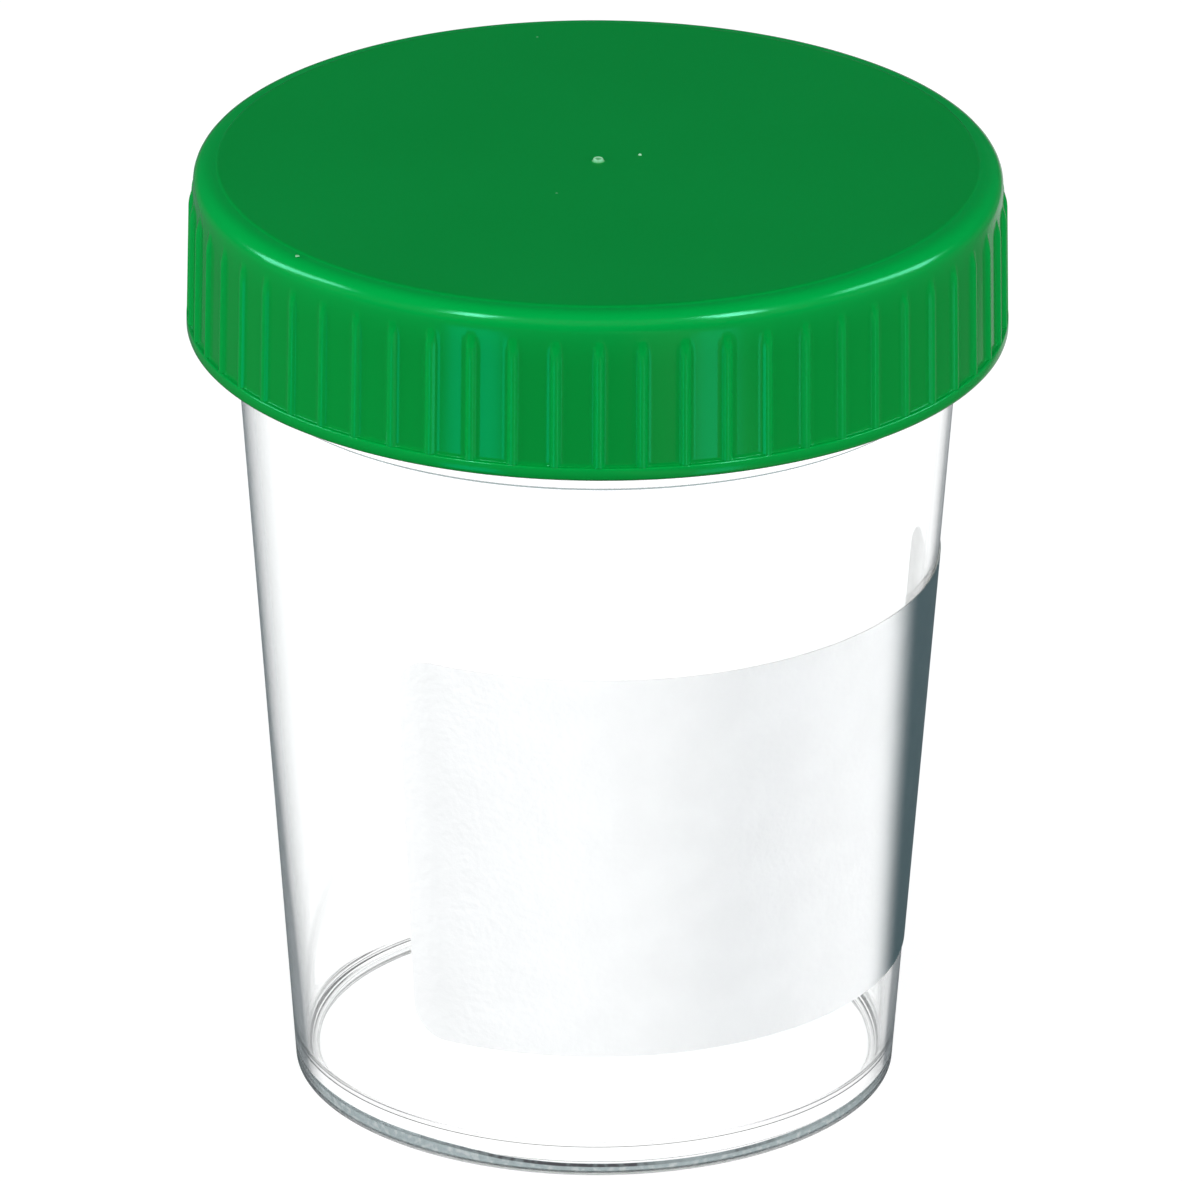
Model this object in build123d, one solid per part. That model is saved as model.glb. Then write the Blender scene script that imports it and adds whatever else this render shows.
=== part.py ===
from build123d import *
import math
import os

# A 125 ml specimen container: a clear tapered cup, a ribbed screw lid and a paper label.
# Millimetres and degrees. The origin is the centre of the foot on the standing surface, +Z up.

# Cup
base_radius = 24.35  # outside of the wall where the cup stands
wall_angle = 4.24  # how far the wall leans outwards from vertical
wall_thickness = 1.0
cup_height = 76.9  # standing surface to rim
foot_height = 0.9  # the floor's underside stands this high, inside the foot ring
foot_width = 1.5
floor_thickness = 1.2
heel_bevel = 0.3
floor_corner_radius = 1.2
neck_height = 14.8  # straight neck, from the step under the lid up to the rim
neck_step = 0.3
rim_bevel = 0.35

# Lid
top_thickness = 1.3
lid_height = 13.9
skirt_thickness = 1.35
skirt_angle = 1.15  # draft of the skirt, wider at the bottom
thread_room = 2.05  # radial space between neck and skirt, which the two threads share
shoulder_radius = 1.5
shoulder_width = 1.87  # from the edge of the flat top panel out to the skirt
top_panel_step = 0.1
inner_corner_bevel = 0.5
skirt_edge_bevel = 0.25
grip_ring_height = 1.1

# Grip ribs
rib_count = 60
rib_height = 0.33
rib_width = 0.8  # at the skirt
rib_crest_width = 0.4
rib_top_depth = 2.2  # from the top panel down to where the ribs begin
rib_run_out = 1.6  # length over which a rib rises to its full height

# Sealing lip, which plugs the mouth
lip_height = 3.2
lip_thickness = 0.9
lip_clearance = 0.15
lip_lead_in = 0.35  # how far the lip's tip is drawn in, so that it finds the mouth
lip_tip_bevel = 0.25

# Mark left by the moulding gate
gate_radius = 0.5
gate_tip_radius = 0.3
gate_height = 0.25

# Label
label_base = 11.0  # standing surface to the label's lower edge
label_height = 34.0
label_width = 63.5  # measured round the cup at half the label's height
label_thickness = 0.1
label_adhesive = 0.02
label_corner_radius = 3.0
label_end_angle = 13.0  # right-hand end of the label, counted from +X towards +Y

# Heights and radii that follow from the sizes above
neck_start = cup_height - neck_height
lid_top = cup_height + top_thickness
lid_bottom = lid_top - lid_height
ring_top = lid_bottom + grip_ring_height
rib_top = lid_top - rib_top_depth


def wall_radius(height):
    """Outside of the tapered wall at a height."""
    return base_radius + height * math.tan(math.radians(wall_angle))


bore_radius = wall_radius(neck_start) - wall_thickness
neck_radius = wall_radius(neck_start) + neck_step
skirt_foot_radius = neck_radius + thread_room + skirt_thickness


def skirt_radius(height):
    """Outside of the skirt between the ribs at a height."""
    return skirt_foot_radius - (height - lid_bottom) * math.tan(math.radians(skirt_angle))


def revolved(points, rounds, bevels):
    """Turn a closed outline of (radius, height) points about +Z, after easing its corners."""
    outline = make_face(Plane.XZ * Polyline(*points, close=True))
    for ease, corners in ((fillet, rounds), (chamfer, bevels)):
        for (radius, height), size in corners:
            corner = outline.vertices().sort_by_distance((radius, 0, height))[0]
            outline = ease(corner, size)
    return revolve(outline, Axis.Z)


def make_cup():
    """Thin tapered cup with a raised floor, a foot ring and a straight neck."""
    floor_top = foot_height + floor_thickness
    foot_inner = base_radius - foot_width
    floor_edge = wall_radius(floor_top) - wall_thickness
    outline = [
        (0, foot_height),
        (foot_inner, foot_height),
        (foot_inner, 0),
        (base_radius, 0),
        (wall_radius(neck_start), neck_start),
        (neck_radius, neck_start),
        (neck_radius, cup_height),
        (bore_radius, cup_height),
        (bore_radius, neck_start),
        (floor_edge, floor_top),
        (0, floor_top),
    ]
    rounds = [
        ((floor_edge, floor_top), floor_corner_radius),
    ]
    bevels = [
        ((neck_radius, cup_height), rim_bevel),
        ((bore_radius, cup_height), rim_bevel),
        ((base_radius, 0), heel_bevel),
        ((foot_inner, 0), heel_bevel),
    ]
    return revolved(outline, rounds, bevels)


def make_lid_shell():
    """Lid without its ribs: top, rounded shoulder, drafted skirt, bottom ring and sealing lip."""
    shoulder_top = lid_top - top_panel_step
    panel_radius = skirt_radius(lid_top) - shoulder_width
    lip_outer = bore_radius - lip_clearance
    lip_inner = lip_outer - lip_thickness
    lip_bottom = cup_height - lip_height
    ring_radius = skirt_foot_radius + rib_height
    bore_top = skirt_radius(cup_height) - skirt_thickness
    bore_bottom = skirt_foot_radius - skirt_thickness
    outline = [
        (0, lid_top),
        (panel_radius, lid_top),
        (panel_radius, shoulder_top),
        (skirt_radius(shoulder_top), shoulder_top),
        (skirt_radius(ring_top), ring_top),
        (ring_radius, ring_top),
        (ring_radius, lid_bottom),
        (bore_bottom, lid_bottom),
        (bore_top, cup_height),
        (lip_outer, cup_height),
        (lip_outer - lip_lead_in, lip_bottom),
        (lip_inner, lip_bottom),
        (lip_inner, cup_height),
        (0, cup_height),
    ]
    rounds = [
        ((skirt_radius(shoulder_top), shoulder_top), shoulder_radius),
    ]
    bevels = [
        ((ring_radius, lid_bottom), skirt_edge_bevel),
        ((bore_bottom, lid_bottom), skirt_edge_bevel),
        ((bore_top, cup_height), inner_corner_bevel),
        ((lip_outer - lip_lead_in, lip_bottom), lip_tip_bevel),
    ]
    return revolved(outline, rounds, bevels)


def make_rib():
    """One grip rib at +X: a bar half sunk in the skirt, its upper end sloped down into the wall."""
    root_half_width = rib_width - rib_crest_width / 2
    section = [
        (-rib_height, -root_half_width),
        (rib_height, -rib_crest_width / 2),
        (rib_height, rib_crest_width / 2),
        (-rib_height, root_half_width),
    ]
    foot = (ring_top + lid_bottom) / 2
    length = (rib_top + rib_height - foot) / math.cos(math.radians(skirt_angle))
    seat = Location((skirt_radius(foot), 0, foot), (0, -skirt_angle, 0))
    bar = seat * extrude(make_face(Polyline(*section, close=True)), length)

    slope_foot = rib_top - rib_run_out
    crest = skirt_radius(slope_foot) + rib_height
    steepness = rib_run_out / (crest - skirt_radius(rib_top))
    inside = skirt_radius(rib_top) - 2 * rib_height
    outside = skirt_foot_radius + 2 * rib_height
    limit = [
        (inside, foot),
        (outside, foot),
        (outside, slope_foot - (outside - crest) * steepness),
        (inside, slope_foot + (crest - inside) * steepness),
    ]
    slab = extrude(make_face(Plane.XZ * Polyline(*limit, close=True)), rib_width, both=True)
    return bar & slab


def make_gate_mark():
    """Low stub left where the moulding gate was cut."""
    return Pos(0, 0, lid_top) * Cone(
        gate_radius, gate_tip_radius, gate_height, align=(Align.CENTER, Align.CENTER, Align.MIN)
    )


def make_lid():
    """The whole moulded lid."""
    ribs = PolarLocations(0, rib_count, start_angle=-90) * make_rib()
    return make_lid_shell() + ribs + make_gate_mark()


def make_corner_trim(angle, height, turn):
    """Block with a quarter-round hollow that rounds one corner of the label, at a rounding centre."""
    size = 2 * label_corner_radius
    block = Box(size, size, size, align=(Align.CENTER, Align.MIN, Align.MIN))
    round_part = Rot(0, 90, 0) * Cylinder(label_corner_radius, 2 * size)
    return Rot(0, 0, angle) * Pos(wall_radius(height), 0, height) * Rot(turn, 0, 0) * (block - round_part)


def make_label():
    """Paper label stuck round part of the wall, with rounded corners."""
    inner = wall_radius(label_base) + label_adhesive
    outer = inner + label_thickness
    spread = label_height * math.tan(math.radians(wall_angle))
    label_top = label_base + label_height
    outline = [
        (inner, label_base),
        (outer, label_base),
        (outer + spread, label_top),
        (inner + spread, label_top),
    ]
    section = make_face(Plane.XZ * Polyline(*outline, close=True))
    arc = math.degrees(label_width / (inner + spread / 2))
    label_start_angle = label_end_angle - arc
    label = Rot(0, 0, label_start_angle) * revolve(section, Axis.Z, arc)
    upper = label_top - label_corner_radius
    lower = label_base + label_corner_radius
    for height, end_turn, start_turn in ((upper, 0, 90), (lower, 270, 180)):
        inset = math.degrees(math.asin(label_corner_radius / wall_radius(height)))
        label -= make_corner_trim(label_end_angle - inset, height, end_turn)
        label -= make_corner_trim(label_start_angle + inset, height, start_turn)
    return label


os.makedirs("parts", exist_ok=True)
export_step(make_cup(), "parts/cup.step")
export_step(make_lid(), "parts/lid.step")
export_step(make_label(), "parts/label.step")
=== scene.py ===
import math

import bpy
from mathutils import Matrix, Quaternion, Vector


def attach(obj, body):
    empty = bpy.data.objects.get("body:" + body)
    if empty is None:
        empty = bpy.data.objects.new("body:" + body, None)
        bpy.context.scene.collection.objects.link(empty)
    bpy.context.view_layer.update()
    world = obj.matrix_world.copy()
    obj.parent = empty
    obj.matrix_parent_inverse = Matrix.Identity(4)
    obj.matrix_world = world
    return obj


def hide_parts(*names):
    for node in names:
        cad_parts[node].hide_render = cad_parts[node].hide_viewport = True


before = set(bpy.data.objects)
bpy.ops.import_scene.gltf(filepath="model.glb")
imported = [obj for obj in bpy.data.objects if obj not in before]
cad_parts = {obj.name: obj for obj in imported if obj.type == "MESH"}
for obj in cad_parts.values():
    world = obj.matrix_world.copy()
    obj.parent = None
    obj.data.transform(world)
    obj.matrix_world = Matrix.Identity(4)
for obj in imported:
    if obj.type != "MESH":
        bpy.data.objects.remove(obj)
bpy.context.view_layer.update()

# A specimen container: clear tapered cup, ribbed green screw lid, plain paper label.
# Sizes are in millimetres and degrees, and become metres when a mesh is made.
MM = 0.001
EASE_STEP = 11  # most degrees between two points of a rounded corner
EASE_SUPPORT = 0.12  # a further point holds each end of it this far out, so that its shading stays tight

# Cup
CUP_SIDES = 288
BASE_RADIUS = 24.35
WALL_LEAN = math.tan(math.radians(4.24))
WALL = 1.0
CUP_HEIGHT = 76.9
FOOT_HEIGHT = 0.9
FOOT_INNER = 22.85
FLOOR_TOP = 2.1
NECK_START = 62.1
NECK_STEP = 0.3
RECESS_RING = FOOT_INNER - 6  # radius of a plain ring under the floor
FLOOR_RING = FOOT_INNER - 8  # radius of a plain ring on the floor
SIDE_START = FOOT_INNER + 0.3  # the masks of the outside start here, on the foot ring
# Band at the foot, from below the heel up to a dark line: a ground finish with a grey tint of painted shade,
# and the line a painted dark line, as (height, share of frosting and painted shade)
BAND = [(0.0, 0.05), (0.3, 0.3), (0.42, 0.5), (0.78, 0.5), (0.84, 1.0), (1.1, 1.0), (1.17, 0.0)]
BAND_FOOT, FOOT_FROST_AND_SHADE = BAND[2]
LINE_SHARE = 1.0
# The band's painted shade climbs and its painted dark line pales towards the sides: (place from -X to +X,
# rise, share of the line)
BAND_SWAY = [
    (-1.0, 0.5, 0.66), (-0.57, 0.48, 0.66), (-0.44, 0.38, 0.85), (-0.31, 0.16, 0.95), (-0.12, 0.02, 1.0),
    (0.1, 0.0, 1.0), (0.33, 0.02, 0.66), (0.5, 0.06, 0.9), (0.68, 0.16, 0.68), (1.0, 0.34, 0.68),
]
# Painted shade: a faint grey line under the neck's step, as (height, share of frosting and painted shade)
NECK_LINE = [(61.85, 0.0), (61.9, 0.55), (62.1, 0.55), (62.2, 0.0)]
# Painted shade: how much the wall's colour darkens where it is seen along itself, more on the -X side:
# (height, share at -X, share at +X)
WALL_SHADE = [
    (0.0, 2.5, 1.3), (5.0, 2.37, 1.25), (11.0, 2.1, 1.2), (18.0, 1.65, 0.9), (31.0, 1.12, 0.45),
    (45.0, 1.04, 0.25), (62.0, 0.95, 0.25),
]
RIM_SHADE = (0.08, 1.0)  # the same painted shade for its narrow outermost line: (share at -X, share at +X)
# Radii of the cup's rounded corners
RECESS_EASE = 0.1
FOOT_EASE = 0.28
HEEL_EASE = 0.25
STEP_EASE = 0.08
RIM_EASE = 0.4
BORE_EASE = 4.0
FLOOR_EASE = 1.2

# Lid
LID_TOP = 78.2
LID_BOTTOM = 64.3
RING_TOP = 65.4
SKIRT_LEAN = math.tan(math.radians(1.15))
SKIRT = 1.35
THREAD_ROOM = 2.05  # between neck and skirt
SHOULDER_RADIUS = 1.5
PANEL_RADIUS = 30.505
MIDDLE_RING = 3.0
PANEL_RINGS = (8.0, 16.0, 24.0, 29.0, PANEL_RADIUS - 0.35)
# Step from the flat panel down to the shoulder: (distance out from the panel's edge, drop)
PANEL_EDGE = [(-0.14, 0.0), (-0.06, 0.012), (0.0, 0.05), (0.06, 0.088), (0.14, 0.1)]
PANEL_WIDTH, PANEL_STEP = PANEL_RADIUS + PANEL_EDGE[-1][0], PANEL_EDGE[-1][1]
PANEL_EDGE_PAINTED_LIGHT = 6  # share of painted light for each millimetre of drop
# Bottom ring: rounded edges, as (inset, distance down from its top) and (inset, distance up from its bottom)
RING_TOP_EDGE = [(0.08, 0.02), (0.03, 0.06), (0.0, 0.14)]
RING_FOOT_EDGE = [(0.0, 0.36), (0.0, 0.25), (0.04, 0.13), (0.12, 0.04), (0.25, 0.0)]
RING_LEDGE_INSET = 0.14
RING_LEDGE_DROP = 0.005
RING_FILLET = 0.05
# Painted light on the ring's top edge
RING_EDGE_PAINTED_LIGHT = 0.6
# Inside of the skirt and sealing lip
MOUTH_EASE = 0.25
INNER_CORNER_EASE = 0.6
LIP_ROOT_EASE = 0.1
LIP_TIP_EASE = 0.28
LIP_INNER_TIP_EASE = 0.15
LIP_INNER_ROOT_EASE = 0.3
LIP_OUTER = 27.804
LIP_THICKNESS = 0.9
LIP_BOTTOM = 73.7
LIP_LEAD_IN = 0.35
CEILING_RING = LIP_OUTER - 8  # radius of a plain ring under the lid's top

# Grip ribs, as (distance along the skirt from the rib's middle, share of its height, share of painted light)
RIB_COUNT = 60
RIB_HEIGHT = 0.33
RIB_MIDDLE = 70  # the height at which their form is laid out
FIRST_RIB = -89.75
PLAIN_STEP, GATE_STEP = 3, 21  # plain rings and the gate's rings keep one in so many of the ribs' points
RIB_FORM = [
    (-0.5, 0.0, 0.1), (-0.39, 0.2, 0.7), (-0.29, 0.66, 1.0), (-0.17, 0.95, 0.75), (0.0, 1.0, 0.65),
    (0.17, 0.95, 0.75), (0.29, 0.66, 1.0), (0.39, 0.2, 0.7), (0.5, 0.0, 0.1),
    (0.85, 0.0, 0.0), (1.27, 0.0, 0.0), (1.69, 0.0, 0.0), (2.11, 0.0, 0.0), (2.53, 0.0, 0.0),
]
# How the ribs run out under the shoulder and down to the ring: (height, share of a rib's height)
RIB_RISE = [
    (76.3, 0.0), (76.0, 0.0), (75.8, 0.1), (75.55, 0.32), (75.3, 0.56),
    (75.0, 0.8), (74.7, 0.94), (74.4, 1.0), (73.4, 1.0), (71.4, 1.0),
    (68.4, 1.0), (65.75, 1.0), (RING_TOP + 0.06, 1.0),
]

# Stub where the moulding gate was cut: (radius, height over the panel, share of stress-whitening and painted
# glint)
GATE_MARK = [
    (0.1, 0.1, 0.1), (0.19, 0.13, 0.15), (0.27, 0.23, 0.7), (0.34, 0.25, 0.75),
    (0.4, 0.2, 0.5), (0.46, 0.07, 0.3), (0.54, 0.0, 0.0), (0.7, 0.0, 0.0),
]
GATE_HOLLOW, GATE_HOLLOW_WHITE = 0.09, 0.15  # the stub's middle

# Specks that the mould left on the lid's top, the first with a painted glint: (x, y, radius, height, share of
# stress-whitening and painted glint)
SPECKS = [
    (3.34, 1.34, 0.14, 0.12, 0.9), (-3.3, -6.9, 0.1, 0.03, 0.3),
    (-5.0, 27.1, 0.09, 0.03, 0.3), (-23.7, -20.4, 0.17, 0.08, 0.45),
]
SPECK_SIDES = 10
SPECK_FORM = [(1.0, -0.3), (0.92, 0.35), (0.6, 0.8)]  # (share of its radius, share of its height)
SPECK_WOBBLE = 0.18

# Painted light: how far the lighter colour on the shoulder reaches, as (height, share)
SHOULDER_PAINTED_LIGHT = [
    (73.4, 0.0), (74.6, 0.08), (75.6, 0.22), (76.3, 0.45),
    (77.0, 0.8), (77.6, 1.0), (77.9, 0.9), (78.1, 0.6),
]

# Screw thread: two starts, right-handed. Each row is (height from the thread's middle, share of depth).
THREAD_STARTS = 2
THREAD_LEAD = 6.0
THREAD_FADE = 12.0
THREAD_FORM = [
    (-0.98, 0.0), (-0.82, 0.07), (-0.64, 0.45), (-0.44, 0.9), (-0.26, 1.0),
    (0.26, 1.0), (0.44, 0.9), (0.64, 0.45), (0.82, 0.07), (0.98, 0.0),
]
THREAD_REACH = 1.6  # how far up and down from its middle a thread bends the rings
# On the neck and in the lid: (depth, middle's first height, start angle, span, lowest ring, highest ring)
NECK_THREAD = (1.12, 68.6, 20.0, 165.0, 63.4, 75.4)
LID_THREAD = (-1.2, 66.7, 24.0, 150.0, 65.0, 74.6)

# Label
LABEL_BASE = 11.0
LABEL_HEIGHT = 34.0
LABEL_WIDTH = 63.5
LABEL_THICKNESS = 0.1
LABEL_GLUE = 0.02
LABEL_CORNER = 3.0
LABEL_END = 13.0
LABEL_COLUMNS = 90
LABEL_ROWS = 24

# Colours, as linear red, green and blue
LID_GREEN, LID_GREEN_FLOW = (0.0, 0.242, 0.032), (0.0, 0.252, 0.034)
# The lid's painted light colour, and the pale colour of its cut gate and specks, partly stress-whitening and
# partly a painted glint
LID_PAINTED_LIGHT, LID_CUT_AND_GLINT = (0.0, 0.322, 0.05), (0.42, 0.72, 0.5)
# The cup's clear colour, then painted shade: the foot band's grey tint and its dark line
CUP_CLEAR, CUP_BAND_SHADE, CUP_LINE_SHADE = (0.99, 0.994, 0.994), (0.124, 0.168, 0.177), (0.005, 0.005, 0.006)
# Painted shade, mixed into the cup's colour where its wall is seen along itself
CUP_EDGE_SHADE = (0.08, 0.09, 0.095)
PAPER, PAPER_CLOUD = (0.905, 0.882, 0.877), (0.932, 0.909, 0.904)
AIR_COLOUR = (0.25, 0.9, 1.0)
FLOOR_BOUNCE, FLOOR_SHOWN = (0.135, 0.17, 0.19), (0.2, 0.2, 0.2)
WHITE = (1.0, 1.0, 1.0)
COOL_GLINT, DEEP_GLINT = (0.26, 1.0, 0.8), (0.0, 1.0, 0.7)

# Painted shade: where the cup's wall colour darkens, as (mask, Facing where it starts, Facing where it is
# full, its most)
EDGE_DARKENING = (("outside", 0.64, 0.9, 0.85), ("rim", 0.78, 0.89, 1.0))

# Studio, in metres
AIR_STRENGTH = 0.08
AIR_MIRROR_SHARE = 0.015  # of the white backdrop, in mirror reflections
FLOOR_REACH = 4.0
FLOOR_HEIGHT = -0.00005
# The floor's bright strip in mirror reflections, as (X from, X to, value from, value to), multiplied
FLOOR_STRIP = ((0.02, 0.08, 0.0, 0.5), (0.12, 0.16, 1.0, 0.0))
FLOOR_MIRROR_SHARE = 0.06
FLOOR_STRENGTH_OFF = -0.1  # the light that falls on the floor adds this much again
LAMP_AIM = (0.0, 0.0, 0.045)

# Camera: the point in millimetres that it looks at, its angles in radians, distance in metres and lens
CAMERA_TARGET = (-0.4211, 0.0, 40.765)
CAMERA_DOWN = 0.4072
CAMERA_ROLL = 0.00457
CAMERA_DISTANCE = 1.3223
CAMERA_LENS = 498.16
CAMERA_SENSOR = 36.0


def wall_radius(height):
    """Outside of the tapered wall."""
    return BASE_RADIUS + height * WALL_LEAN


NECK_RADIUS = wall_radius(NECK_START) + NECK_STEP
BORE_RADIUS = wall_radius(NECK_START) - WALL
SKIRT_FOOT = NECK_RADIUS + THREAD_ROOM + SKIRT


def skirt_radius(height):
    """Outside of the lid's skirt between the ribs."""
    return SKIRT_FOOT - (height - LID_BOTTOM) * SKIRT_LEAN


def even_angles(count):
    return [math.radians(360 * i / count) for i in range(count)]


def eased(corners):
    """Outline points from (radius, height, easing radius) corners: each eased corner becomes an arc."""
    points = []
    for i, (radius, height, ease) in enumerate(corners):
        here = Vector((radius, height))
        if not ease:
            points.append(here)
            continue
        before = (Vector(corners[i - 1][:2]) - here).normalized()
        after = (Vector(corners[(i + 1) % len(corners)][:2]) - here).normalized()
        half_angle = before.angle(after) / 2
        reach = ease / math.tan(half_angle)
        centre = here + (before + after).normalized() * ease / math.sin(half_angle)
        first = here + before * reach - centre
        turn = math.pi - 2 * half_angle
        if first.x * (here + after * reach - centre).y < first.y * (here + after * reach - centre).x:
            turn = -turn
        steps = max(2, round(abs(math.degrees(turn)) / EASE_STEP))
        support = min(EASE_SUPPORT, ease)
        points.append(here + before * (reach + support))
        for k in range(steps + 1):
            angle = turn * k / steps
            spoke = Vector((
                first.x * math.cos(angle) - first.y * math.sin(angle),
                first.x * math.sin(angle) + first.y * math.cos(angle),
            ))
            points.append(centre + spoke)
        points.append(here + after * (reach + support))
    return points


class Shell:
    """Rings of points round the +Z axis, joined into one skin. Each point has a value in every mask."""

    def __init__(self, *masks):
        self.points = []
        self.faces = []
        self.last = None
        self.masks = {name: [] for name in masks}

    def mark(self, count, values):
        """Fills the masks for the newest points. A value is a number or a list; a mask left out is 0."""
        for name, mask in self.masks.items():
            value = values.get(name, 0.0)
            mask.extend(value if isinstance(value, list) else [value] * count)

    def ring(self, angles, radius, height, **masks):
        """Adds a ring and joins it to the last. radius and height are numbers or one value per angle."""
        radii = radius if isinstance(radius, list) else [radius] * len(angles)
        heights = height if isinstance(height, list) else [height] * len(angles)
        first = len(self.points)
        for angle, r, z in zip(angles, radii, heights):
            self.points.append((r * MM * math.cos(angle), r * MM * math.sin(angle), z * MM))
        self.mark(len(angles), masks)
        self.join(list(range(first, len(self.points))))

    def centre(self, height, **masks):
        self.points.append((0.0, 0.0, height * MM))
        self.mark(1, masks)
        self.join([len(self.points) - 1])

    def join(self, ring):
        """Bridges the last ring to this one; the longer holds a whole multiple of the shorter's points."""
        last, self.last = self.last, ring
        if last is None:
            return
        if len(last) == len(ring) and len(ring) > 1:
            for i in range(len(ring)):
                j = (i + 1) % len(ring)
                self.faces.append((last[i], last[j], ring[j], ring[i]))
            return
        few, many, outward = (last, ring, True) if len(last) < len(ring) else (ring, last, False)
        share = len(many) // len(few)
        for i in range(len(many)):
            j = (i + 1) % len(many)
            near, after = few[i // share], few[(j // share) % len(few)]
            face = (near, many[j], many[i]) if near == after else (near, after, many[j], many[i])
            self.faces.append(face if outward else tuple(reversed(face)))

    def add(self, points, faces, **masks):
        """Adds a small closed form of its own."""
        first = len(self.points)
        self.points.extend(points)
        self.mark(len(points), masks)
        self.faces.extend(tuple(first + i for i in face) for face in faces)

    def piece(self, name, material, sharp=50.0):
        """Makes the object, with smooth shading except across sharp edges."""
        mesh = bpy.data.meshes.new(name)
        mesh.from_pydata(self.points, [], self.faces)
        mesh.polygons.foreach_set("use_smooth", [True] * len(mesh.polygons))
        mesh.materials.append(material)
        for mask, values in self.masks.items():
            mesh.attributes.new(mask, "FLOAT", "POINT").data.foreach_set("value", values)
        mesh.update()
        obj = bpy.data.objects.new(name, mesh)
        bpy.context.scene.collection.objects.link(obj)
        mesh.set_sharp_from_angle(angle=math.radians(sharp))
        return obj


def share_at(place, table, column=1):
    """Value at a place, from rows that begin with the place and hold the value in a column."""
    for low, high in zip(table, table[1:]):
        if place <= high[0]:
            return low[column] + (high[column] - low[column]) * max(0.0, place - low[0]) / (high[0] - low[0])
    return table[-1][column]


def thread_at(angle, start, span):
    """(rise, strength) of the screw thread at an angle in degrees, measured along its own start."""
    along = (angle - start) % (360 / THREAD_STARTS)
    gap = 360 / THREAD_STARTS - span
    if along > span:
        return THREAD_LEAD * span / 360 * (1 - (along - span) / gap), 0.0
    fade = min(1.0, min(along, span - along) / THREAD_FADE)
    return THREAD_LEAD * along / 360, fade * fade * (3 - 2 * fade)


def thread_rings(shell, angles, radius_at, depth, middle, start, span, low, high):
    """Rings that follow the helix between two plain heights. depth is negative on a bore."""
    # (height, share of the helix's rise, share of depth)
    rows = [(low, 0.0, 0.0), (low * 0.5 + (middle - THREAD_REACH) * 0.5, 0.4, 0.0)]
    rows += [(middle + offset, 1.0, share) for offset, share in THREAD_FORM]
    rows += [((middle + THREAD_REACH) * 0.5 + high * 0.5, 0.45, 0.0), (high, 0.0, 0.0)]
    for height, follow, share in rows:
        heights, radii = [], []
        for angle in angles:
            rise, strength = thread_at(math.degrees(angle), start, span)
            z = height + follow * rise
            heights.append(z)
            radii.append(radius_at(z) + depth * share * strength)
        shell.ring(angles, radii, heights)


def across(angles, left, right):
    """A value for each angle that goes from left on the -X side to right on the +X side."""
    return [left + (right - left) * (1 + math.cos(angle)) / 2 for angle in angles]


def wall_masks(angles, height):
    """How strongly shade is painted on the wall where it is seen along itself, for each angle at a height."""
    shade = across(angles, share_at(height, WALL_SHADE), share_at(height, WALL_SHADE, 2))
    return {"outside": shade, "rim": across(angles, *RIM_SHADE)}


def make_cup(material):
    """Clear cup: one skin from the middle of its underside, up the outside and down the inside."""
    angles = even_angles(CUP_SIDES)
    # Masks: frosting and painted shade of the foot band and neck line; painted shade where the wall is seen
    # along itself
    shell = Shell("frosted", "outside", "rim")
    shell.centre(FOOT_HEIGHT)
    outside = eased([
        (RECESS_RING, FOOT_HEIGHT, 0),
        (FOOT_INNER, FOOT_HEIGHT, RECESS_EASE),
        (FOOT_INNER, 0, FOOT_EASE),
        (BASE_RADIUS, 0, HEEL_EASE),
        (wall_radius(BAND_FOOT), BAND_FOOT, 0),
    ])
    for r, z in outside[:-1]:
        masks = dict(frosted=share_at(z, BAND), **wall_masks(angles, z)) if r > SIDE_START else {}
        shell.ring(angles, r, z, **masks)
    shell.ring(angles, wall_radius(BAND_FOOT), BAND_FOOT, frosted=FOOT_FROST_AND_SHADE, **wall_masks(angles, BAND_FOOT))
    for height, share in BAND[3:]:
        heights = [height + share_at(math.cos(a), BAND_SWAY) for a in angles]
        frost = [share] * len(angles)
        if share == LINE_SHARE:
            frost = [share * share_at(math.cos(a), BAND_SWAY, 2) for a in angles]
        radii = [wall_radius(z) for z in heights]
        shell.ring(angles, radii, heights, frosted=frost, **wall_masks(angles, height))
    for z, _, _ in WALL_SHADE[1:-1]:
        shell.ring(angles, wall_radius(z), z, **wall_masks(angles, z))
    step = eased([
        (wall_radius(NECK_LINE[0][0]), NECK_LINE[0][0], 0),
        (wall_radius(NECK_LINE[1][0]), NECK_LINE[1][0], 0),
        (wall_radius(NECK_START), NECK_START, STEP_EASE),
        (NECK_RADIUS, NECK_START, STEP_EASE),
        (NECK_RADIUS, CUP_HEIGHT, 0),
    ])[:-1]
    for r, z in step:
        shell.ring(angles, r, z, frosted=share_at(z, NECK_LINE), **wall_masks(angles, z))
    thread_rings(shell, angles, lambda z: NECK_RADIUS, *NECK_THREAD)
    inside = eased([
        (NECK_RADIUS, CUP_HEIGHT - 2, 0),
        (NECK_RADIUS, CUP_HEIGHT, RIM_EASE),
        (BORE_RADIUS, CUP_HEIGHT, RIM_EASE),
        (BORE_RADIUS, NECK_START, BORE_EASE),
        (wall_radius(FLOOR_TOP) - WALL, FLOOR_TOP, FLOOR_EASE),
        (FLOOR_RING, FLOOR_TOP, 0),
    ])[1:]
    for r, z in inside:
        shell.ring(angles, r, z)
    shell.centre(FLOOR_TOP)
    return shell.piece("clear_cup", material)


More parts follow.
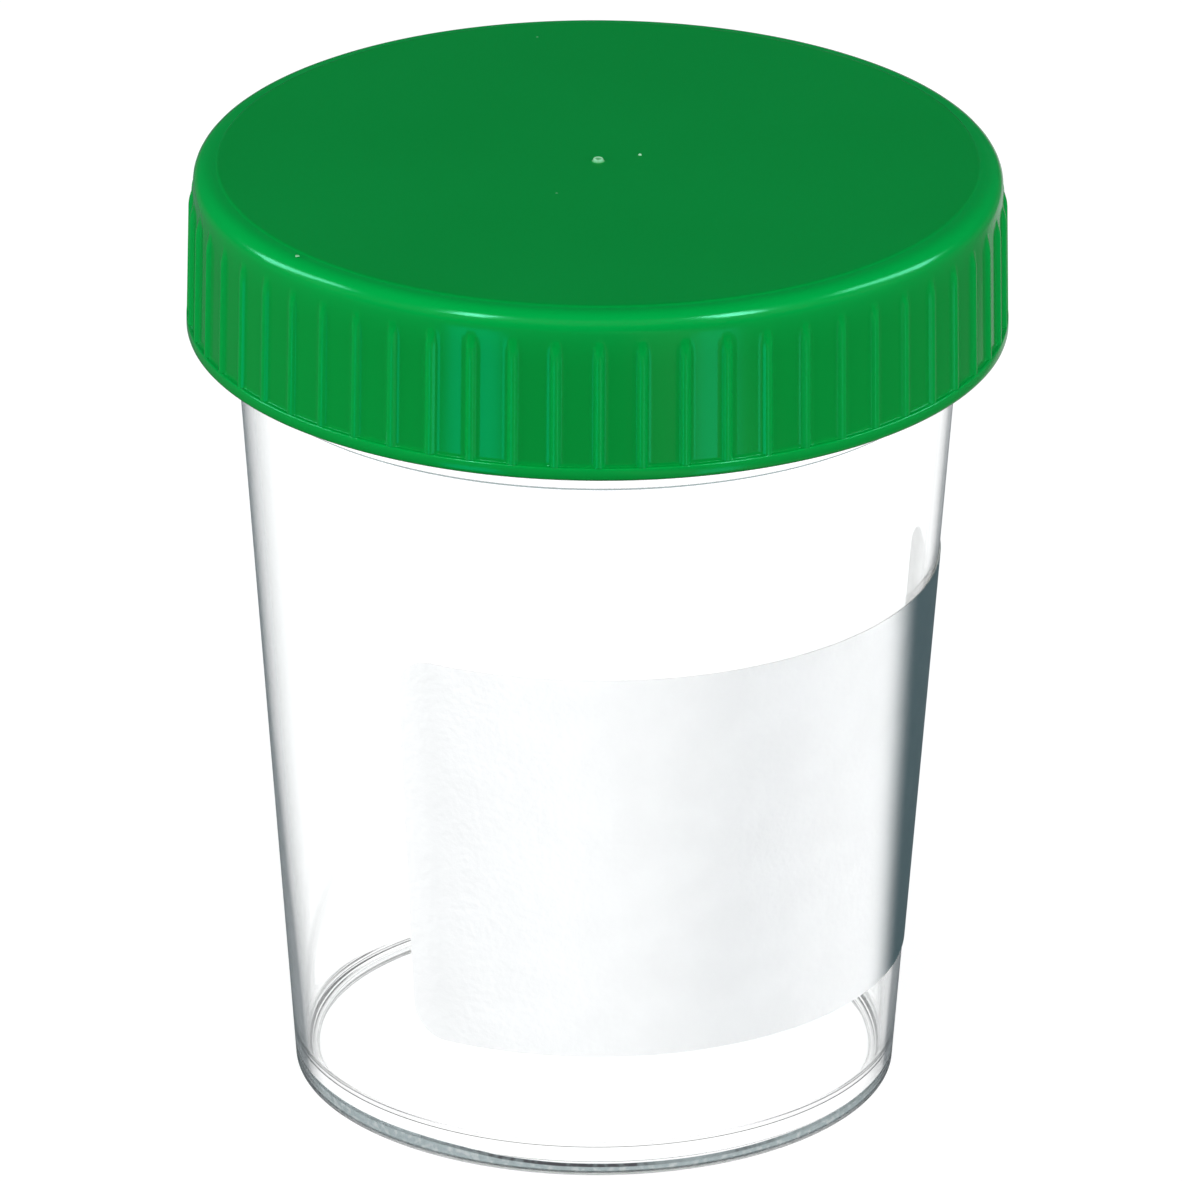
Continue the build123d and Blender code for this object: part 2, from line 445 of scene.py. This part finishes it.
def add_speck(shell, x, y, size, height, white):
    """A tiny speck left standing on the lid's top by the mould."""
    sides, rows = SPECK_SIDES, SPECK_FORM
    points = []
    for share, rise in rows:
        for k in range(sides):
            a = 2 * math.pi * k / sides
            wobble = 1 + SPECK_WOBBLE * math.sin(3 * a + x)
            points.append(((x + size * share * wobble * math.cos(a)) * MM,
                           (y + size * share * wobble * math.sin(a)) * MM,
                           (LID_TOP + height * rise) * MM))
    points.append((x * MM, y * MM, (LID_TOP + height) * MM))
    faces = [tuple(reversed(range(sides)))]
    for row in range(len(rows) - 1):
        for k in range(sides):
            m = (k + 1) % sides
            faces.append((row * sides + k, row * sides + m, (row + 1) * sides + m, (row + 1) * sides + k))
    top = (len(rows) - 1) * sides
    faces += [(top + k, top + (k + 1) % sides, len(points) - 1) for k in range(sides)]
    shell.add(points, faces, whitened=white)


def make_lid(material):
    """Green lid: one skin from the middle of its top, over the shoulder, down the ribs and up the inside."""
    pitch = 360 / RIB_COUNT
    rib_angles, rib_form, rib_painted_light = [], [], []
    for k in range(RIB_COUNT):
        for along, share, light_share in RIB_FORM:
            aside = math.degrees(along / skirt_radius(RIB_MIDDLE))
            rib_angles.append(math.radians(FIRST_RIB + k * pitch + aside))
            rib_form.append(share)
            rib_painted_light.append(light_share)
    plain = rib_angles[::PLAIN_STEP]
    gate = rib_angles[::GATE_STEP]

    # Masks: painted light on the shoulder, ribs and edges; stress-whitening and painted glint on the gate and
    # specks
    shell = Shell("raised", "whitened")
    shell.centre(LID_TOP + GATE_HOLLOW, whitened=GATE_HOLLOW_WHITE)
    for r, rise, white in GATE_MARK:
        shell.ring(gate, r, LID_TOP + rise, whitened=white)
    shell.ring(gate, MIDDLE_RING, LID_TOP)
    for r in PANEL_RINGS:
        shell.ring(plain, r, LID_TOP)
    for out, drop in PANEL_EDGE:
        shell.ring(plain, PANEL_RADIUS + out, LID_TOP - drop, raised=drop * PANEL_EDGE_PAINTED_LIGHT)
    edge_top = LID_TOP - PANEL_STEP
    shoulder = eased([
        (PANEL_WIDTH, edge_top, 0),
        (skirt_radius(edge_top), edge_top, SHOULDER_RADIUS),
        (skirt_radius(RING_TOP), RING_TOP, 0),
    ])[2:-2]
    for r, z in shoulder:
        shell.ring(rib_angles, r, z, raised=share_at(z, SHOULDER_PAINTED_LIGHT))
    for z, rise in RIB_RISE:
        shell.ring(rib_angles, [skirt_radius(z) + RIB_HEIGHT * rise * share for share in rib_form], z,
                   raised=[max(share_at(z, SHOULDER_PAINTED_LIGHT), rise * light_share) for light_share in rib_painted_light])
    ring_radius = SKIRT_FOOT + RIB_HEIGHT
    ledge = ring_radius - RING_LEDGE_INSET
    foot = [skirt_radius(RING_TOP) + max(RIB_HEIGHT * share, RING_FILLET) for share in rib_form]
    shell.ring(rib_angles, foot, RING_TOP)
    shell.ring(rib_angles, [max(ledge, r) for r in foot], RING_TOP - RING_LEDGE_DROP)
    for inset, drop in RING_TOP_EDGE:
        shell.ring(rib_angles, ring_radius - inset, RING_TOP - drop, raised=RING_EDGE_PAINTED_LIGHT)
    for inset, rise in RING_FOOT_EDGE:
        shell.ring(rib_angles, ring_radius - inset, LID_BOTTOM + rise)

    bore_top = skirt_radius(CUP_HEIGHT) - SKIRT
    bore_bottom = SKIRT_FOOT - SKIRT
    mouth = eased([
        (ring_radius - 0.5, LID_BOTTOM, 0),
        (bore_bottom, LID_BOTTOM, MOUTH_EASE),
        (bore_top, CUP_HEIGHT, 0),
    ])[:-1]
    for r, z in mouth:
        shell.ring(plain, r, z)
    thread_rings(shell, plain, lambda z: skirt_radius(z) - SKIRT, *LID_THREAD)
    seat = eased([
        (bore_top, CUP_HEIGHT - 2, 0),
        (bore_top, CUP_HEIGHT, INNER_CORNER_EASE),
        (LIP_OUTER, CUP_HEIGHT, LIP_ROOT_EASE),
        (LIP_OUTER - LIP_LEAD_IN, LIP_BOTTOM, LIP_TIP_EASE),
        (LIP_OUTER - LIP_THICKNESS, LIP_BOTTOM, LIP_INNER_TIP_EASE),
        (LIP_OUTER - LIP_THICKNESS, CUP_HEIGHT, LIP_INNER_ROOT_EASE),
        (CEILING_RING, CUP_HEIGHT, 0),
    ])[1:]
    for r, z in seat:
        shell.ring(plain, r, z)
    shell.ring(gate, MIDDLE_RING, CUP_HEIGHT)
    shell.centre(CUP_HEIGHT)
    for speck in SPECKS:
        add_speck(shell, *speck)
    return shell.piece("green_lid", material)


def label_columns():
    """(distance from the label's left end, how far its rounded corner cuts in) for each column of points."""
    corner = [LABEL_CORNER * (1 - math.cos(math.radians(a))) for a in range(0, 91, 9)]
    middle = LABEL_WIDTH - 2 * LABEL_CORNER
    along = corner + [LABEL_CORNER + middle * k / LABEL_COLUMNS for k in range(1, LABEL_COLUMNS)]
    along += [LABEL_WIDTH - d for d in reversed(corner)]
    columns = []
    for d in along:
        into = max(0.0, LABEL_CORNER - min(d, LABEL_WIDTH - d))
        columns.append((d, LABEL_CORNER - math.sqrt(max(0.0, LABEL_CORNER ** 2 - into ** 2))))
    return columns


def make_label(material):
    """Paper label: two faces a paper's thickness apart, with rounded corners and a closed edge."""
    middle_radius = wall_radius(LABEL_BASE + LABEL_HEIGHT / 2)
    columns = label_columns()
    rows = LABEL_ROWS
    points, faces = [], []
    for lift in (LABEL_GLUE + LABEL_THICKNESS, LABEL_GLUE):
        for d, cut in columns:
            angle = math.radians(LABEL_END) - (LABEL_WIDTH - d) / middle_radius
            for k in range(rows + 1):
                z = LABEL_BASE + cut + (LABEL_HEIGHT - 2 * cut) * k / rows
                r = wall_radius(z) + lift
                points.append((r * MM * math.cos(angle), r * MM * math.sin(angle), z * MM))
    count, stride = len(columns), rows + 1
    back = count * stride
    for c in range(count - 1):
        for k in range(rows):
            a = c * stride + k
            faces.append((a, a + stride, a + stride + 1, a + 1))
            faces.append((back + a, back + a + 1, back + a + stride + 1, back + a + stride))
    rim = [c * stride for c in range(count)] + [(count - 1) * stride + k for k in range(1, rows + 1)]
    rim += [c * stride + rows for c in range(count - 2, -1, -1)] + list(range(rows - 1, 0, -1))
    for i, a in enumerate(rim):
        b = rim[(i + 1) % len(rim)]
        faces.append((a, back + a, back + b, b))
    shell = Shell()
    shell.add(points, faces)
    return shell.piece("paper_label", material)


def opaque(colour):
    return (*colour, 1.0)


def new_material(name):
    """(material, its nodes, its links, its Principled shader)"""
    material = bpy.data.materials.new(name)
    material.use_nodes = True
    tree = material.node_tree
    return material, tree.nodes, tree.links, tree.nodes["Principled BSDF"]


def make_moulded_skin():
    """Node group for moulded plastic: a fine ripple as a height, and slow streaks of flow as a mask."""
    group = bpy.data.node_groups.new("Moulded_Skin", "ShaderNodeTree")
    for name, value in (("Ripple Scale", 900.0), ("Flow Scale", 60.0), ("Flow Stretch", 1.0)):
        socket = group.interface.new_socket(name, in_out="INPUT", socket_type="NodeSocketFloat")
        socket.default_value = value
    for name in ("Ripple", "Flow"):
        group.interface.new_socket(name, in_out="OUTPUT", socket_type="NodeSocketFloat")
    nodes, links = group.nodes, group.links
    inputs, outputs = nodes.new("NodeGroupInput"), nodes.new("NodeGroupOutput")
    place = nodes.new("ShaderNodeTexCoord")

    ripple = nodes.new("ShaderNodeTexNoise")
    ripple.inputs["Detail"].default_value = 3.0
    links.new(place.outputs["Object"], ripple.inputs["Vector"])
    links.new(inputs.outputs["Ripple Scale"], ripple.inputs["Scale"])
    links.new(ripple.outputs["Fac"], outputs.inputs["Ripple"])

    stretch = nodes.new("ShaderNodeCombineXYZ")
    stretch.inputs["X"].default_value = 1.0
    stretch.inputs["Y"].default_value = 1.0
    links.new(inputs.outputs["Flow Stretch"], stretch.inputs["Z"])
    scaled = nodes.new("ShaderNodeVectorMath")
    scaled.operation = "MULTIPLY"
    links.new(place.outputs["Object"], scaled.inputs[0])
    links.new(stretch.outputs["Vector"], scaled.inputs[1])
    flow = nodes.new("ShaderNodeTexNoise")
    flow.inputs["Detail"].default_value = 2.0
    links.new(scaled.outputs["Vector"], flow.inputs["Vector"])
    links.new(inputs.outputs["Flow Scale"], flow.inputs["Scale"])
    links.new(flow.outputs["Fac"], outputs.inputs["Flow"])
    return group


def skin_in(nodes, skin, **values):
    node = nodes.new("ShaderNodeGroup")
    node.node_tree = skin
    for name, value in values.items():
        node.inputs[name.replace("_", " ")].default_value = value
    return node


def mask_in(nodes, name):
    node = nodes.new("ShaderNodeAttribute")
    node.attribute_name = name
    return node.outputs["Fac"]


def remap(nodes, links, source, limits, kind="SMOOTHSTEP"):
    """Maps source from limits' first two values onto its last two, smoothly unless kind says otherwise."""
    node = nodes.new("ShaderNodeMapRange")
    node.interpolation_type = kind
    for name, value in zip(("From Min", "From Max", "To Min", "To Max"), limits):
        node.inputs[name].default_value = value
    links.new(source, node.inputs["Value"])
    return node.outputs["Result"]


def span(nodes, links, source, low, high):
    """Maps a noise's 0.25 to 0.75 smoothly onto low to high."""
    return remap(nodes, links, source, (0.25, 0.75, low, high))


def times_plus(nodes, links, value, factor, addend):
    """value * factor + addend; addend may be a number or a socket."""
    node = nodes.new("ShaderNodeMath")
    node.operation = "MULTIPLY_ADD"
    links.new(value, node.inputs[0])
    node.inputs[1].default_value = factor
    if isinstance(addend, float):
        node.inputs[2].default_value = addend
    else:
        links.new(addend, node.inputs[2])
    return node.outputs["Value"]


def combine(nodes, links, operation, first, second):
    node = nodes.new("ShaderNodeMath")
    node.operation = operation
    links.new(first, node.inputs[0])
    links.new(second, node.inputs[1])
    return node.outputs["Value"]


def multiply(nodes, links, first, second):
    return combine(nodes, links, "MULTIPLY", first, second)


def colour_between(nodes, links, factor, first, second):
    """Mixes two colours, each given as numbers or as a socket."""
    node = nodes.new("ShaderNodeMix")
    node.data_type = "RGBA"
    for name, colour in (("A", first), ("B", second)):
        if isinstance(colour, tuple):
            node.inputs[name].default_value = opaque(colour)
        else:
            links.new(colour, node.inputs[name])
    links.new(factor, node.inputs["Factor"])
    return node.outputs["Result"]


def mix_shaders(nodes, links, mask, first, second, output):
    """Shows second where mask is 1 and first where it is 0."""
    mix = nodes.new("ShaderNodeMixShader")
    links.new(mask, mix.inputs["Fac"])
    links.new(first, mix.inputs[1])
    links.new(second, mix.inputs[2])
    links.new(mix.outputs["Shader"], output.inputs["Surface"])


def noise(nodes, links, scale, detail):
    """Noise that is fixed to the object, with its scale per metre."""
    place = nodes.new("ShaderNodeTexCoord")
    node = nodes.new("ShaderNodeTexNoise")
    node.inputs["Scale"].default_value = scale
    node.inputs["Detail"].default_value = detail
    links.new(place.outputs["Object"], node.inputs["Vector"])
    return node.outputs["Fac"]


def add_bump(nodes, links, shader, height, distance, strength):
    """Bumps the shader's surface by a height; distance is in metres."""
    bump = nodes.new("ShaderNodeBump")
    bump.inputs["Strength"].default_value = strength
    bump.inputs["Distance"].default_value = distance
    links.new(height, bump.inputs["Height"])
    links.new(bump.outputs["Normal"], shader.inputs["Normal"])


def green_polyethylene(skin):
    """Lid plastic: deep green with a soft gloss, with painted light on the shoulder, ribs and edges, and pale
    where it was cut, partly stress-whitening and partly a painted glint.
    """
    material, nodes, links, shader = new_material("green_polyethylene")
    marks = skin_in(nodes, skin, Ripple_Scale=1100.0, Flow_Scale=38.0)
    flow = span(nodes, links, marks.outputs["Flow"], 0.0, 1.0)
    colour = colour_between(nodes, links, flow, LID_GREEN, LID_GREEN_FLOW)
    # Painted light: a lighter green on the shoulder, rib crests and flanks, the panel's step and the ring's
    # top edge
    colour = colour_between(nodes, links, mask_in(nodes, "raised"), colour, LID_PAINTED_LIGHT)
    # Partly stress-whitening and partly a painted glint on the gate's stub and the specks
    colour = colour_between(nodes, links, mask_in(nodes, "whitened"), colour, LID_CUT_AND_GLINT)
    links.new(colour, shader.inputs["Base Color"])
    links.new(span(nodes, links, marks.outputs["Flow"], 0.14, 0.17), shader.inputs["Roughness"])
    shader.inputs["Specular IOR Level"].default_value = 0.15
    add_bump(nodes, links, shader, marks.outputs["Ripple"], distance=0.00001, strength=0.1)
    return material


def clear_polystyrene(skin):
    """Cup plastic: clear and polished, with painted shade where it is seen along its wall, and a roughened
    foot ring whose grey tint and dark line are painted shade.
    """
    material, nodes, links, shader = new_material("clear_polystyrene")
    marks = skin_in(nodes, skin, Ripple_Scale=1800.0, Flow_Scale=110.0, Flow_Stretch=0.12)
    geometry = nodes.new("ShaderNodeNewGeometry")
    from_outside = times_plus(nodes, links, geometry.outputs["Backfacing"], -1.0, 1.0)
    # The band's grey tint and dark line are painted shade; only its roughness and grain are the ground finish
    ground_and_shade = multiply(nodes, links, mask_in(nodes, "frosted"), from_outside)
    ground_and_shade = multiply(nodes, links, ground_and_shade, span(nodes, links, marks.outputs["Ripple"], 0.88, 1.12))
    frost = nodes.new("ShaderNodeValToRGB")
    frost.color_ramp.elements[0].color = opaque(CUP_CLEAR)
    frost.color_ramp.elements[1].color = opaque(CUP_LINE_SHADE)
    frost.color_ramp.elements.new(0.5).color = opaque(CUP_BAND_SHADE)
    links.new(ground_and_shade, frost.inputs["Fac"])
    # Painted shade: the wall's colour darkens where it is seen along itself, more on the -X side than on the
    # +X side
    weight = nodes.new("ShaderNodeLayerWeight")
    shades = []
    for mask, low, high, most in EDGE_DARKENING:
        edge = remap(nodes, links, weight.outputs["Facing"], (low, high, 0.0, most), "LINEAR")
        shades.append(multiply(nodes, links, mask_in(nodes, mask), edge))
    wall = multiply(nodes, links, times_plus(nodes, links, shades[0], 1.0, shades[1]), from_outside)
    links.new(colour_between(nodes, links, wall, frost.outputs["Color"], CUP_EDGE_SHADE),
              shader.inputs["Base Color"])
    shader.inputs["Transmission Weight"].default_value = 1.0
    shader.inputs["IOR"].default_value = 1.5
    polish = span(nodes, links, marks.outputs["Flow"], 0.0, 0.02)
    links.new(times_plus(nodes, links, ground_and_shade, 0.4, polish), shader.inputs["Roughness"])
    grain = multiply(nodes, links, ground_and_shade, marks.outputs["Ripple"])
    height = times_plus(nodes, links, marks.outputs["Flow"], 0.3, grain)
    add_bump(nodes, links, shader, height, distance=0.00006, strength=0.2)
    return material


def label_paper():
    """Matte coated paper with a faint fibre grain."""
    material, nodes, links, shader = new_material("label_paper")
    fibres = noise(nodes, links, 1600.0, 4.0)
    cloud = noise(nodes, links, 240.0, 3.0)
    colour = colour_between(nodes, links, span(nodes, links, cloud, 0.0, 1.0), PAPER, PAPER_CLOUD)
    links.new(colour, shader.inputs["Base Color"])
    links.new(span(nodes, links, fibres, 0.55, 0.75), shader.inputs["Roughness"])
    shader.inputs["Specular IOR Level"].default_value = 0.1
    height = times_plus(nodes, links, cloud, 0.3, fibres)
    add_bump(nodes, links, shader, height, distance=0.0001, strength=0.5)
    return material


def seen_directly(nodes, links, mirror_share):
    """(mask, strength) of the backdrop: the mask is 1 for rays that show the backdrop itself, a share of it
    for mirror reflections and otherwise 0, and the strength makes up for what the clear cup takes away."""
    rays = nodes.new("ShaderNodeLightPath")
    if isinstance(mirror_share, float):
        mirror = times_plus(nodes, links, rays.outputs["Is Glossy Ray"], mirror_share, 0.0)
    else:
        mirror = multiply(nodes, links, rays.outputs["Is Glossy Ray"], mirror_share)
    through = rays.outputs["Is Transmission Ray"]
    straight = combine(nodes, links, "MAXIMUM", rays.outputs["Is Camera Ray"], through)
    mask = combine(nodes, links, "MAXIMUM", mirror, straight)
    return mask, times_plus(nodes, links, through, 0.2, 1.0)


def make_studio_air():
    """World: a white backdrop all round, and a soft cool light on the object."""
    world = bpy.data.worlds.new("studio_air")
    bpy.context.scene.world = world
    world.use_nodes = True
    nodes, links = world.node_tree.nodes, world.node_tree.links
    soft = nodes["Background"]
    soft.inputs["Color"].default_value = opaque(AIR_COLOUR)
    soft.inputs["Strength"].default_value = AIR_STRENGTH
    white = nodes.new("ShaderNodeBackground")
    white.inputs["Color"].default_value = opaque(WHITE)
    mask, strength = seen_directly(nodes, links, AIR_MIRROR_SHARE)
    links.new(strength, white.inputs["Strength"])
    mix_shaders(nodes, links, mask, soft.outputs["Background"], white.outputs["Background"],
                nodes["World Output"])


def make_floor():
    """Wide pale floor that shows white and keeps a soft shadow. Mirrored, it has a bright strip at +X."""
    material, nodes, links, shader = new_material("studio_floor")
    shown = nodes.new("ShaderNodeBsdfPrincipled")
    for face, colour in ((shader, FLOOR_BOUNCE), (shown, FLOOR_SHOWN)):
        face.inputs["Base Color"].default_value = opaque(colour)
        face.inputs["Roughness"].default_value = 0.9
        face.inputs["Specular IOR Level"].default_value = 0.0
    shown.inputs["Emission Color"].default_value = opaque(WHITE)
    place = nodes.new("ShaderNodeTexCoord")
    position = nodes.new("ShaderNodeSeparateXYZ")
    links.new(place.outputs["Object"], position.inputs["Vector"])
    edges = [remap(nodes, links, position.outputs["X"], limits) for limits in FLOOR_STRIP]
    bright = multiply(nodes, links, *edges)
    mask, strength = seen_directly(nodes, links, times_plus(nodes, links, bright, 1.0, FLOOR_MIRROR_SHARE))
    links.new(times_plus(nodes, links, strength, 1.0, FLOOR_STRENGTH_OFF), shown.inputs["Emission Strength"])
    mix_shaders(nodes, links, mask, shader.outputs["BSDF"], shown.outputs["BSDF"], nodes["Material Output"])
    mesh = bpy.data.meshes.new("studio_floor")
    corners = ((-1, -1), (1, -1), (1, 1), (-1, 1))
    points = [(x * FLOOR_REACH, y * FLOOR_REACH, FLOOR_HEIGHT) for x, y in corners]
    mesh.from_pydata(points, [], [(0, 1, 2, 3)])
    mesh.materials.append(material)
    floor = bpy.data.objects.new("studio_floor", mesh)
    bpy.context.scene.collection.objects.link(floor)
    return floor


def group_of(name, members):
    group = bpy.data.collections.new(name)
    for member in members:
        group.objects.link(member)
    return group


def add_lamp(name, azimuth, elevation, size, strength, receivers, distance=1.0, aim=LAMP_AIM,
             turn=0.0, shift=0.0, beam=False, colour=WHITE, blockers=()):
    """Area lamp that shines on aim from an azimuth, counted from +X, and an elevation, in degrees.

    strength is the light that it gives a surface facing it, 1 being a plain level. receivers are the
    only objects that it lights. turn rolls it, shift moves it sideways, and a beam doesn't widen.
    blockers, if given, are the only objects that hold its light back.
    """
    lamp = bpy.data.lights.new(name, "AREA")
    lamp.shape = "RECTANGLE"
    lamp.size, lamp.size_y = size
    lamp.color = colour
    lamp.energy = strength * math.pi * (size[0] * size[1] if beam else 4 * distance ** 2)
    lamp.spread = math.radians(1.0 if beam else 180.0)
    obj = bpy.data.objects.new(name, lamp)
    bpy.context.scene.collection.objects.link(obj)
    a, e = math.radians(azimuth), math.radians(elevation)
    direction = Vector((math.cos(a) * math.cos(e), math.sin(a) * math.cos(e), math.sin(e)))
    sideways = Vector((-math.sin(a), math.cos(a), 0.0))
    obj.location = Vector(aim) + direction * distance + sideways * shift
    obj.rotation_mode = "QUATERNION"
    roll = Quaternion((0.0, 0.0, 1.0), math.radians(turn))
    obj.rotation_quaternion = direction.to_track_quat("Z", "Y") @ roll
    obj.visible_camera = False
    obj.visible_transmission = False
    obj.light_linking.receiver_collection = group_of(name + "_receivers", receivers)
    if blockers:
        obj.light_linking.blocker_collection = group_of(name + "_blockers", blockers)
    return obj


def make_lights(lid, label, floor):
    """Soft light on the lid and floor, lamps on the label's two faces, and lamps that glint on the lid."""
    # Each has its name, azimuth, elevation, (width, height), strength and receivers first.
    soft = [
        add_lamp("front_softbox", -92.0, 45.0, (0.7, 0.6), 0.44, (lid, floor)),
        add_lamp("front_left_softbox", -140.0, 25.0, (0.6, 0.5), 0.3, (lid, floor)),
        add_lamp("front_right_softbox", -42.0, 25.0, (0.6, 0.5), 0.3, (lid, floor)),
        add_lamp("left_softbox", 180.0, 12.0, (0.7, 0.3), 0.4, (lid, floor)),
        add_lamp("right_softbox", 0.0, 12.0, (0.7, 0.3), 0.31, (lid, floor)),
        add_lamp("label_left_lamp", -150.0, 20.0, (0.3, 0.3), 0.98, (label,)),
        add_lamp("label_right_lamp", -30.0, 20.0, (0.04, 0.11), 1.06, (label,), distance=0.45,
                 turn=3.8, shift=-0.0197, beam=True),
        add_lamp("label_back_lamp", 115.0, 15.0, (0.4, 0.3), 0.5, (label,), blockers=(lid, label)),
        add_lamp("back_softbox", 90.0, 8.0, (0.7, 0.3), 0.3, (lid,)),
    ]
    for lamp in soft:
        lamp.visible_glossy = False
    glints = [
        add_lamp("left_strip", 174.0, 25.0, (0.2, 0.6), 0.74, (lid,), turn=-37.0, colour=COOL_GLINT),
        add_lamp("right_strip", 5.0, 28.0, (0.2, 0.6), 0.68, (lid,), turn=37.0, colour=COOL_GLINT),
        add_lamp("left_window", -130.0, 44.0, (0.13, 0.3), 0.56, (lid,), colour=COOL_GLINT),
        add_lamp("right_window", -46.0, 44.0, (0.18, 0.3), 0.8, (lid,), colour=COOL_GLINT),
        add_lamp("left_sheen", -125.0, -23.0, (0.036, 0.03), 0.11, (lid,), distance=0.126,
                 aim=(-0.0095, -0.0316, 0.07), colour=DEEP_GLINT),
        add_lamp("right_sheen", -56.0, -23.0, (0.028, 0.03), 0.075, (lid,), distance=0.126,
                 aim=(0.0096, -0.0315, 0.07), colour=DEEP_GLINT),
    ]
    for lamp in glints:
        lamp.visible_diffuse = False


def make_camera():
    """Long lens, looking a little down on the container."""
    back = Vector((0.0, -math.cos(CAMERA_DOWN), math.sin(CAMERA_DOWN)))
    up = Vector((0.0, math.sin(CAMERA_DOWN), math.cos(CAMERA_DOWN)))
    right = Vector((1.0, 0.0, 0.0))
    rolled_right = right * math.cos(CAMERA_ROLL) + up * math.sin(CAMERA_ROLL)
    rolled_up = up * math.cos(CAMERA_ROLL) - right * math.sin(CAMERA_ROLL)
    turned = Matrix((rolled_right, rolled_up, back)).transposed().to_4x4()
    lens = bpy.data.cameras.new("camera")
    lens.sensor_width = CAMERA_SENSOR
    lens.lens = CAMERA_LENS
    lens.clip_start = 0.01
    lens.clip_end = 50.0
    camera = bpy.data.objects.new("camera", lens)
    bpy.context.scene.collection.objects.link(camera)
    place = Vector(CAMERA_TARGET) * MM + back * CAMERA_DISTANCE
    camera.matrix_world = Matrix.Translation(place) @ turned
    bpy.context.scene.camera = camera


skin = make_moulded_skin()
cup = make_cup(clear_polystyrene(skin))
lid = make_lid(green_polyethylene(skin))
label = make_label(label_paper())
for piece, body, node in ((cup, "cup", "cup"), (lid, "lid", "lid"), (label, "cup", "label")):
    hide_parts(node)
    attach(piece, body)

make_studio_air()
make_lights(lid, label, make_floor())
make_camera()
bpy.context.scene.view_settings.view_transform = "Standard"
bpy.context.scene.cycles.max_bounces = 24
bpy.context.scene.cycles.glossy_bounces = 16
bpy.context.scene.cycles.transmission_bounces = 24
